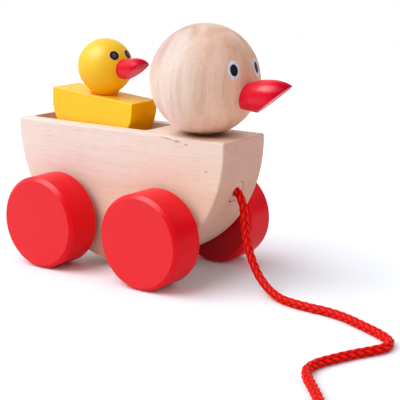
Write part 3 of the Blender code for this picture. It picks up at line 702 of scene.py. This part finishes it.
def add_lamp(name, source, spread, share, lighting, mirrored):
    """Even light from a direction. The share is what a white face turned to it sends back."""
    data = bpy.data.lights.new(name, "SUN")
    data.angle = math.radians(spread)
    data.energy = math.pi * share
    lamp = placed_object(name, data, Matrix.Identity(4))
    lamp.visible_diffuse = lighting
    lamp.visible_glossy = mirrored
    lamp.location = source
    lamp.rotation_euler = (-Vector(source)).to_track_quat("-Z", "Y").to_euler()


def add_world():
    """White for the camera, and for other rays a soft glow that is strongest behind the toy."""
    world = bpy.data.worlds.new("studio")
    bpy.context.scene.world = world
    world.use_nodes = True
    tree = world.node_tree
    light = tree.nodes["Background"]
    light.inputs["Color"].default_value = SKY_COLOUR
    towards = tree.nodes.new("ShaderNodeVectorMath")
    towards.operation = "DOT_PRODUCT"
    towards.inputs[1].default_value = Vector(SKY_SOURCE).normalized()
    tree.links.new(tree.nodes.new("ShaderNodeTexCoord").outputs["Generated"], towards.inputs[0])
    glow = tree.nodes.new("ShaderNodeMapRange")
    glow.interpolation_type = "SMOOTHSTEP"
    for name, value in zip(("From Min", "From Max", "To Min", "To Max"), (*SKY_SPREAD, *SKY_RANGE)):
        glow.inputs[name].default_value = value
    tree.links.new(towards.outputs["Value"], glow.inputs["Value"])
    tree.links.new(glow.outputs["Result"], light.inputs["Strength"])
    seen = tree.nodes.new("ShaderNodeBackground")
    seen.inputs["Color"].default_value = (1.0, 1.0, 1.0, 1.0)
    path = tree.nodes.new("ShaderNodeLightPath")
    choice = tree.nodes.new("ShaderNodeMixShader")
    tree.links.new(path.outputs["Is Camera Ray"], choice.inputs["Fac"])
    tree.links.new(light.outputs["Background"], choice.inputs[1])
    tree.links.new(seen.outputs["Background"], choice.inputs[2])
    tree.links.new(choice.outputs["Shader"], tree.nodes["World Output"].inputs["Surface"])


def add_floor():
    """A white floor that keeps the shadow."""
    shape = bmesh.new()
    bmesh.ops.create_grid(shape, x_segments=8, y_segments=8, size=FLOOR_REACH)
    floor = add_object("floor", shape, Matrix.Identity(4), floor_look())


# Cord

def smooth_line(points, fineness=40):
    """A dense smooth line through the points."""
    points = np.array(points)
    padded = np.vstack([2 * points[0] - points[1], points, 2 * points[-1] - points[-2]])
    share = np.linspace(0.0, 1.0, fineness, endpoint=False)[:, None]
    stretches = []
    for a, b, c, d in zip(padded, padded[1:], padded[2:], padded[3:]):
        bend = 2 * a - 5 * b + 4 * c - d
        twist = 3 * b - a - 3 * c + d
        stretches.append(b + 0.5 * ((c - a) * share + bend * share**2 + twist * share**3))
    return np.vstack(stretches + [points[-1:]])


def evenly_spaced(line, step):
    """The line's points at equal steps along it, both ends included."""
    run = np.concatenate([[0.0], np.cumsum(np.linalg.norm(np.diff(line, axis=0), axis=1))])
    marks = np.linspace(0.0, run[-1], round(run[-1] / step) + 1)
    return np.column_stack([np.interp(marks, run, line[:, i]) for i in range(3)])


def length_of(line):
    return float(np.linalg.norm(np.diff(line, axis=0), axis=1).sum())


def tie_lift(turns):
    """How far the cord is lifted to pass over the tie's lower side."""
    away = abs((turns - TIE_AT + 0.5) % 1.0 - 0.5)
    if away > TIE_REACH:
        return 0.0
    return (TIE_THICKNESS + 2 * TIE_CLEARANCE) * math.cos(math.pi / 2 * away / TIE_REACH) ** 2


def coil_place(turns):
    """The middle of the coiled cord after that many turns, wound clockwise as seen from above."""
    inwards = min(turns, 2 * COIL_REVERSAL - turns)
    radius = COIL_RADIUS - COIL_STEP * inwards
    climb = min(max(2 * (turns - COIL_REVERSAL) + 0.5, 0.0), 1.0)
    layer = COIL_STEP * climb**2 * (3 - 2 * climb)
    last = min(max((turns - COIL_TURNS) / TIE_REACH + 1.0, 0.0), 1.0)
    height = CORD_REST + layer + tie_lift(turns) + COIL_END_RISE * last**2 * (3 - 2 * last)
    angle = COIL_START - 2 * math.pi * turns
    return np.array(
        [COIL_CENTRE.x + radius * math.cos(angle), COIL_CENTRE.y + radius * math.sin(angle), height]
    )


def coil_heading(turns):
    angle = COIL_START - 2 * math.pi * turns
    return np.array([math.sin(angle), -math.cos(angle), 0.0])


def cord_bore_direction():
    return Vector((math.cos(CORD_BORE_DROP), 0.0, -math.sin(CORD_BORE_DROP)))


def plug_face():
    """The middle of the plug's outer face."""
    out = cord_bore_direction()
    return Vector((HULL_LEAD, 0.0, DISC_HEIGHT)) + (HULL_RADIUS - PLUG_RECESS) * out


def cord_line():
    """The whole cord's line from behind the plug to its end knot, about the wheelbase's middle."""
    out = np.array(cord_bore_direction())
    face = np.array(plug_face())
    back = face - (PLUG_LENGTH + GAP) * out
    into = coil_heading(0.0)
    entry = coil_place(0.0) - CORD_DIAMETER * into
    route = [back, face - CORD_DIAMETER * out, face + CORD_DIAMETER / 4 * out]
    route += [np.array(point) for point in CORD_ROUTE]
    route += [entry - (CORD_DIAMETER + GAP) * into, entry]
    free = smooth_line(route)
    turns = np.array([coil_place(t) for t in np.linspace(0.0, COIL_TURNS, COIL_POINTS)])
    leaving = turns[-1] + CORD_DIAMETER * coil_heading(COIL_TURNS)
    return np.vstack([free, turns, leaving])


def end_knot_line():
    """A stopper knot of tight turns round the cord's own end, with a short tail."""
    leaving = coil_heading(COIL_TURNS)
    side = np.array([-leaving[1], leaving[0], 0.0])
    up = np.array([0.0, 0.0, 1.0])
    start = coil_place(COIL_TURNS) + CORD_DIAMETER * leaving
    points = [start, start + KNOT_LEAD * leaving]
    for t in np.linspace(0.0, KNOT_TURNS, KNOT_POINTS):
        angle = 2 * math.pi * t
        swell = KNOT_RADIUS * min(1.0, 4 * t, 4 * (KNOT_TURNS - t) + 0.2)
        away = swell * (math.cos(angle) * up + math.sin(angle) * side)
        points.append(start + (KNOT_START + KNOT_PITCH * t) * leaving + away)
    points.append(start + KNOT_END * leaving)
    points.append(start + KNOT_TAIL * leaving - KNOT_TAIL_DROP * up)
    return smooth_line(points, fineness=12)


def carried_frames(line):
    """Two unit vectors square to the line at each point, which turn with it and don't twist."""
    ahead = np.gradient(line, axis=0)
    ahead /= np.linalg.norm(ahead, axis=1)[:, None]
    first = np.cross(ahead[0], [0.0, 1.0, 0.0])
    sides = [first / np.linalg.norm(first)]
    for way in ahead[1:]:
        side = sides[-1] - way * (sides[-1] @ way)
        sides.append(side / np.linalg.norm(side))
    sides = np.array(sides)
    return sides, np.cross(ahead, sides)


def braid_height(along, around):
    """How far the braid's surface stands up, 0 between strands and 1 on their crowns. Strands wind both ways
    and each passes over two and under two."""
    turned = BRAID_STRANDS * (around + BRAID_TURN) / (2 * math.pi)
    one = turned + along / BRAID_PERIOD
    other = turned - along / BRAID_PERIOD
    over = (np.floor(one) + other) % 4 < 2
    across = np.where(over, one % 1.0, other % 1.0)
    lengthwise = np.where(over, (np.floor(one) + other) % 2, (np.floor(other) + one) % 2) / 2
    crown = np.sqrt(np.clip(1 - (STRAND_FULLNESS * (across - 0.5)) ** 2, 0.0, 1.0))
    return crown * (STRAND_END_HEIGHT + (1 - STRAND_END_HEIGHT) * np.sin(math.pi * lengthwise))


def braid_object(name, line, radius, place, look):
    """A closed braided tube along a line."""
    line = evenly_spaced(line, BRAID_STEP)
    sides, ups = carried_frames(line)
    along = np.linspace(0.0, length_of(line), len(line))[:, None]
    around = np.linspace(0.0, 2 * math.pi, BRAID_SIDES, endpoint=False)[None, :]
    height = braid_height(along, around)
    reach = (radius - BRAID_DEPTH * (1 - height))[:, :, None]
    spoke = np.cos(around)[:, :, None] * sides[:, None] + np.sin(around)[:, :, None] * ups[:, None]
    rings = line[:, None] + reach * spoke
    rings[:, :, 2] = np.maximum(rings[:, :, 2], BRAID_FLOOR)
    count, width = height.shape
    points = np.vstack([rings.reshape(-1, 3), line[:1], line[-1:]])
    here = np.arange(count * width).reshape(count, width)
    beside = np.roll(here, -1, axis=1)
    faces = np.stack([here[:-1], beside[:-1], beside[1:], here[1:]], axis=-1).reshape(-1, 4).tolist()
    first, last = count * width, count * width + 1
    faces += [(first, b, a) for a, b in zip(here[0], beside[0])]
    faces += [(last, a, b) for a, b in zip(here[-1], beside[-1])]
    mesh = bpy.data.meshes.new(name)
    mesh.from_pydata(points.tolist(), [], [tuple(int(i) for i in face) for face in faces])
    crown = mesh.attributes.new("crown", "FLOAT", "POINT")
    crown.data.foreach_set("value", np.concatenate([height.ravel(), [0.5, 0.5]]).astype(np.float32))
    mesh.shade_smooth()
    mesh.materials.append(look)
    return placed_object(name, mesh, place)


def tie_outline(grow):
    """The tape's line round the coil's turns, as (distance from the coil's middle, height) pairs."""
    turns = [TIE_AT + whole for whole in range(math.ceil(COIL_TURNS)) if TIE_AT + whole <= COIL_TURNS]
    middles = []
    for place in (coil_place(turn) for turn in turns):
        middles.append(Vector((math.dist(place[:2], COIL_CENTRE), place[2])))
    outline = []
    for angle in np.linspace(0.0, 2 * math.pi, TIE_SIDES, endpoint=False):
        way = Vector((math.cos(angle), math.sin(angle)))
        furthest = max(middles, key=way.dot)
        outline.append(furthest + (BRAID_CROWN + TIE_CLEARANCE + grow) * way)
    return outline


def add_tie(look):
    outer = tie_outline(TIE_THICKNESS)
    inner = tie_outline(0.0)
    shape = bmesh.new()
    half = TIE_WIDTH / 2
    loops = []
    for outline, y in ((outer, -half), (outer, half), (inner, half), (inner, -half)):
        loops.append([shape.verts.new((x, y, z)) for x, z in outline])
    for loop, following in zip(loops, loops[1:] + loops[:1]):
        for i in range(len(loop)):
            j = (i + 1) % len(loop)
            shape.faces.new((loop[i], loop[j], following[j], following[i]))
    angle = COIL_START - 2 * math.pi * TIE_AT
    place = TOY @ Matrix.Translation((COIL_CENTRE.x, COIL_CENTRE.y, 0.0)) @ Matrix.Rotation(angle, 4, "Z")
    tie = add_object("tape_tie", shape, place, look)
    round_edges(tie, TIE_EDGE, 2)
    seat(tie, "duck", "cotton_tape", "coil_tie")
    return tie


def add_cord():
    red = braid_look("red_braid")
    line = cord_line()
    cord = braid_object("braided_cord", line, BRAID_CROWN, TOY, red)
    seat(cord, "duck", "red_cord", "pull_cord", "cord_coil")
    knot = braid_object("stopper_knot", end_knot_line(), KNOT_CROWN, TOY, red)
    seat(knot, "duck", "red_cord", "cord_end_knot")
    tie = add_tie(tape_look("cotton_tape"))
    frame["nodes"]["cord_anchor_knot"].data.materials[0] = red


# Hull

def bore_place(distance):
    """A matrix at that distance from the disc's middle on the cord's bore, with +Z running out."""
    place = Vector((HULL_LEAD, 0.0, DISC_HEIGHT)) + distance * cord_bore_direction()
    return Matrix.Translation(place) @ Matrix.Rotation(math.pi / 2 + CORD_BORE_DROP, 4, "Y")


def pocket_cutter():
    """A rounded box that stands on the pocket's floor, and its place."""
    half_length = POCKET_LENGTH / 2 - POCKET_CORNER
    half_width = POCKET_WIDTH / 2 - POCKET_CORNER
    outline = []
    for quarter, (along, across) in enumerate(((1, 1), (-1, 1), (-1, -1), (1, -1))):
        middle = (along * half_length, across * half_width)
        start = quarter * math.pi / 2
        outline += arc(middle, POCKET_CORNER, start, start + math.pi / 2, CORNER_STEPS)
    place = Matrix.Translation((POCKET_MIDDLE, 0.0, POCKET_FLOOR)) @ Matrix.Rotation(math.pi / 2, 4, "X")
    return prism_shape(outline, 0.0, 2 * POCKET_DEPTH), place


def add_hull(wood):
    curve = arc((HULL_LEAD, DISC_HEIGHT), HULL_RADIUS, 0.0, -math.pi, HULL_STEPS)
    outline = [(HULL_REAR, DECK_HEIGHT), (HULL_FRONT, DECK_HEIGHT)] + curve
    shape = prism_shape(outline, -HULL_SIDE, HULL_WIDTH)
    sharp = [edge for edge in shape.edges if edge.calc_face_angle() > EDGE_ANGLE]
    bmesh.ops.bevel(shape, geom=sharp, offset=HULL_ROUNDING, segments=6, profile=0.5, affect="EDGES")
    cutters = [pocket_cutter()]
    for x in (WHEELBASE / 2, -WHEELBASE / 2):
        across = Matrix.Translation((x, 0.0, WHEEL_RADIUS)) @ Matrix.Rotation(math.pi / 2, 4, "X")
        cutters.append((rod_shape(AXLE_BORE_RADIUS, HULL_WIDTH, -HULL_WIDTH), across))
    bore = rod_shape(CORD_BORE_RADIUS, CORD_BORE_DEPTH, -CORD_BORE_DEPTH)
    cutters.append((bore, bore_place(HULL_RADIUS)))
    hull = add_object("wooden_hull", cut_away(shape, cutters), TOY, wood)
    round_edges(hull, HULL_CUT_EDGE, 3)
    seat(hull, "duck", "plain_wood", "hull")


def add_plug(wood):
    hole = BRAID_CROWN + PLUG_CORD_GAP
    rim = CORD_BORE_RADIUS - PLUG_SIDE_GAP
    face = [(hole + PLUG_LIP, 0.0), (rim - PLUG_LIP, 0.0)]
    section = face + [(rim, -PLUG_LIP), (rim, -PLUG_LENGTH), (hole, -PLUG_LENGTH), (hole, -PLUG_LIP)]
    shape = turned_shape(section, ROD_SIDES, ring=True)
    plug = add_object("wooden_plug", shape, TOY @ bore_place(HULL_RADIUS - PLUG_RECESS), wood)
    round_edges(plug, PLUG_EDGE, 2, PLUG_EDGE_ANGLE)
    seat(plug, "duck", "plain_wood", "cord_plug")


# Wheels

def wheel_shape():
    """A wheel about Z with its inner face at the bottom, and a blind hole there for the axle."""
    rim = WHEEL_RADIUS - WHEEL_CHAMFER
    hole = AXLE_RADIUS + GAP
    face = [(radius, WHEEL_WIDTH) for radius in np.linspace(0.0, rim, 6)]
    tread = [(WHEEL_RADIUS, WHEEL_WIDTH - WHEEL_CHAMFER), (WHEEL_RADIUS, WHEEL_CHAMFER)]
    inside = [(rim, 0.0), (hole, 0.0), (hole, AXLE_HOLE_DEPTH), (0.0, AXLE_HOLE_DEPTH)]
    return turned_shape(face + tread + inside, LARGE_SIDES)


def add_wheels(red, wood):
    reach = WHEEL_INNER_FACE + AXLE_SEAT
    for end, x in (("front", WHEELBASE / 2), ("rear", -WHEELBASE / 2)):
        for side, sign in (("left", 1), ("right", -1)):
            place = TOY @ Matrix.Translation((x, sign * WHEEL_INNER_FACE, WHEEL_RADIUS))
            place = place @ Matrix.Rotation(-sign * math.pi / 2, 4, "X")
            wheel = add_object(f"red_wheel_{end}_{side}", wheel_shape(), place, red)
            round_edges(wheel, WHEEL_EDGE, 3)
            seat(wheel, f"{end}_wheel_set", "red_paint", f"{end}_{side}_wheel")
        place = TOY @ Matrix.Translation((x, 0.0, WHEEL_RADIUS)) @ Matrix.Rotation(math.pi / 2, 4, "X")
        rod = add_object(f"dowel_axle_{end}", rod_shape(AXLE_RADIUS, reach, -reach), place, wood)
        round_edges(rod, AXLE_EDGE, 2)
        seat(rod, f"{end}_wheel_set", "plain_wood", f"{end}_axle")


# Heads

def ball_skin(radius, last, count):
    """(radius, height) pairs down a ball from its top to a polar angle."""
    return [(radius * math.sin(a), radius * math.cos(a)) for a in np.linspace(0.0, last, count)]


def flat_ball(radius, foot_radius, sides):
    """A ball cut flat below, and the height of its middle above the flat."""
    rise = math.sqrt(radius**2 - foot_radius**2)
    skin = ball_skin(radius, math.pi - math.asin(foot_radius / radius), sides // 2)
    return turned_shape(skin + [(0.0, -rise)], sides), rise


def necked_ball(radius, neck_radius, neck_height, fillet, sides):
    """A ball that runs through a hollow fillet into a short neck, and the height of its middle. A wide fillet
    is cut off at the neck's foot."""
    rise = math.sqrt(radius**2 - neck_radius**2) + neck_height
    aside = neck_radius + fillet
    below = math.sqrt((radius + fillet) ** 2 - aside**2)
    skin = ball_skin(radius, math.pi - math.asin(aside / (radius + fillet)), sides // 2)
    cut = math.asin(max(0.0, below - rise) / fillet)
    hollow = arc((aside, -below), fillet, math.pi - math.atan2(below, aside), math.pi - cut, CORNER_STEPS)
    return turned_shape(skin + hollow[1:] + [(hollow[-1][0], -rise), (0.0, -rise)], sides), rise


def beak_radius(sizes, z):
    """The beak's radius at a distance from the head's skin along its axis."""
    base, thick, swell, length = sizes["base"], sizes["thick"], sizes["swell"], sizes["length"]
    if z < swell:
        return base + (thick - base) * math.sin(math.pi / 2 * z / swell)
    return thick * math.sqrt(max(0.0, 1 - ((z - swell) / (length - swell)) ** 2))


def beak_shape(sizes):
    """A turned beak with the flat cut off underneath. +Z runs to the tip and +X down."""
    nose = sizes["length"] - sizes["swell"]
    zs = [sizes["swell"] + nose * math.cos(a) for a in np.linspace(0.0, math.pi / 2, BEAK_NOSE_STEPS)]
    zs += list(np.linspace(sizes["swell"], -sizes["seat"], BEAK_BASE_STEPS))[1:]
    profile = [(beak_radius(sizes, z), z) for z in zs] + [(0.0, -sizes["seat"])]
    shape = turned_shape(profile, BEAK_SIDES)
    towards = Vector((math.cos(sizes["roll"]), math.sin(sizes["roll"]), 0.0))
    axis = Vector((0.0, 0.0, 1.0))
    corner = beak_radius(sizes, sizes["cut_start"]) * towards + sizes["cut_start"] * axis
    away = math.cos(sizes["cut_angle"]) * towards + math.sin(sizes["cut_angle"]) * axis
    everything = shape.verts[:] + shape.edges[:] + shape.faces[:]
    halved = bmesh.ops.bisect_plane(
        shape, geom=everything, dist=SAME_PLACE, plane_co=corner, plane_no=away, clear_outer=True
    )
    rim = [item for item in halved["geom_cut"] if isinstance(item, bmesh.types.BMEdge)]
    bmesh.ops.contextual_create(shape, geom=rim)
    return shape


def add_beak(name, sizes, head_place, radius, yaw, body, look, node):
    level = radius * math.cos(sizes["drop"])
    skin = Vector((level * math.cos(yaw), level * math.sin(yaw), -radius * math.sin(sizes["drop"])))
    turn = Matrix.Rotation(yaw, 4, "Z") @ Matrix.Rotation(math.pi / 2 - sizes["tilt"], 4, "Y")
    beak = add_object(name, beak_shape(sizes), head_place @ Matrix.Translation(skin) @ turn, look)
    round_edges(beak, sizes["edge"], 3, BEAK_EDGE_ANGLE)
    seat(beak, body, "red_paint", node)


def add_eye_patch(name, head_place, radius, yaw, pitch, size, body, look):
    """A thin oval of paint that follows a ball's skin. Its rim dips under the skin."""
    half_width, half_height, lift = size
    out = Vector((math.cos(pitch) * math.cos(yaw), math.cos(pitch) * math.sin(yaw), math.sin(pitch)))
    side = Vector((-math.sin(yaw), math.cos(yaw), 0.0))
    up = out.cross(side)
    shape = bmesh.new()
    rings = []
    for share, raised in ((0.35, lift), (0.7, lift), (0.93, lift), (1.0, 0.6 * lift), (1.01, -EYE_EDGE_DIP)):
        ring = []
        for a in np.linspace(0.0, 2 * math.pi, EYE_SIDES, endpoint=False):
            aside = share * half_width * math.cos(a) * side
            above = share * half_height * math.sin(a) * up
            ring.append(shape.verts.new((out * radius + aside + above).normalized() * (radius + raised)))
        rings.append(ring)
    centre = shape.verts.new(out * (radius + lift))
    for i in range(EYE_SIDES):
        j = (i + 1) % EYE_SIDES
        shape.faces.new((centre, rings[0][i], rings[0][j]))
        for inner, outer in zip(rings, rings[1:]):
            shape.faces.new((inner[i], outer[i], outer[j], inner[j]))
    patch = add_object(name, shape, head_place, look)
    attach(patch, body)


def add_mother_head(wood, red, black):
    shape, rise = flat_ball(HEAD_RADIUS, HEAD_FLAT_RADIUS, LARGE_SIDES)
    place = TOY @ Matrix.Translation((HEAD_AXIS, 0.0, DECK_HEIGHT + HEAD_STANDOFF + rise))
    head = add_object("wooden_head", shape, place, wood)
    head.data.set_sharp_from_angle(angle=SHARP_ANGLE)
    seat(head, "duck", "plain_wood", "mother_head")
    add_beak("red_beak", MOTHER_BEAK, place, HEAD_RADIUS, HEAD_TURN, "duck", red, "mother_beak")
    white = ink("eye_white", srgb(222, 212, 228), 0.5)
    for side, aside in EYES_ASIDE:
        eye = (place, HEAD_RADIUS, EYE_TURN + aside, EYE_PITCH)
        add_eye_patch(f"eye_white_{side}", *eye, EYE_WHITE, "duck", white)
        add_eye_patch(f"pupil_{side}", *eye, PUPIL, "duck", black)


# Duckling

def add_duckling_block(look):
    """The rocking block. Gives the height of its top above the rocking axis."""
    corner_x = BLOCK_LENGTH / 2 - BLOCK_END_RADIUS
    corner_z = -math.sqrt((ROCKER_RADIUS - BLOCK_END_RADIUS) ** 2 - corner_x**2)
    meet = math.atan2(corner_z, corner_x)
    top = corner_z + BLOCK_END_RISE
    half = BLOCK_LENGTH / 2
    outline = [(-half, top), (half, top)]
    outline += arc((corner_x, corner_z), BLOCK_END_RADIUS, 0.0, meet, BLOCK_END_STEPS)
    outline += arc((0.0, 0.0), ROCKER_RADIUS, meet, -math.pi - meet, ROCKER_STEPS)[1:-1]
    outline += arc((-corner_x, corner_z), BLOCK_END_RADIUS, -math.pi - meet, -math.pi, BLOCK_END_STEPS)
    shape = prism_shape(outline, -BLOCK_WIDTH / 2, BLOCK_WIDTH)
    block = add_object("yellow_block", shape, DUCKLING, look)
    round_edges(block, BLOCK_ROUNDING, 3)
    seat(block, "duckling", "yellow_paint", "duckling_body")
    return top


def add_duckling(block_yellow, ball_yellow, red, black):
    top = add_duckling_block(block_yellow)
    neck = (SMALL_NECK_RADIUS, SMALL_NECK_HEIGHT, SMALL_NECK_FILLET)
    shape, rise = necked_ball(SMALL_HEAD_RADIUS, *neck, SMALL_HEAD_SIDES)
    place = DUCKLING @ Matrix.Translation((0.0, 0.0, top + GAP + rise))
    head = add_object("yellow_head", shape, place, ball_yellow)
    head.data.set_sharp_from_angle(angle=SHARP_ANGLE)
    seat(head, "duckling", "yellow_paint", "duckling_head")
    skin = (place, SMALL_HEAD_RADIUS, SMALL_HEAD_TURN)
    add_beak("small_red_beak", SMALL_BEAK, *skin, "duckling", red, "duckling_beak")
    grey = ink("eye_grey", srgb(74, 76, 86), 0.4)
    pale = ink("eye_pale_rim", srgb(236, 206, 120), 0.5)
    for side, aside in SMALL_EYES_ASIDE:
        eye = (place, SMALL_HEAD_RADIUS, SMALL_HEAD_TURN + aside, SMALL_EYE_PITCH)
        add_eye_patch(f"small_eye_rim_{side}", *eye, SMALL_EYE_RIM, "duckling", pale)
        add_eye_patch(f"small_eye_{side}", *eye, SMALL_EYE, "duckling", black)
        add_eye_patch(f"small_eye_centre_{side}", *eye, SMALL_EYE_CENTRE, "duckling", grey)


def main():
    bpy.context.scene.view_settings.view_transform = "Standard"
    add_camera()
    add_cord()
    add_world()
    add_floor()
    for lamp in LAMPS:
        add_lamp(*lamp)
    dowel_wood = dowel_beech("dowel_beech", DOWEL_TONES)
    beak_red = paint("beak_red", BEAK_PAINT, MOTHER_BEAK["length"])
    small_beak_red = paint("small_beak_red", BEAK_PAINT, SMALL_BEAK["length"])
    block_yellow = yellow_paint("block_yellow", *BLOCK_PAINT)
    ball_yellow = yellow_paint("ball_yellow", *BALL_PAINT)
    black = ink("eye_black", srgb(30, 24, 38), 0.4)
    add_hull(hull_beech())
    add_plug(dowel_beech("plug_beech", PLUG_TONES))
    add_wheels(paint("wheel_red", WHEEL_PAINT), dowel_wood)
    add_mother_head(head_beech(), beak_red, black)
    add_duckling(block_yellow, ball_yellow, small_beak_red, black)
    for name in ("head_dowel", "duckling_head_dowel"):
        frame["nodes"][name].data.materials[0] = dowel_wood


main()
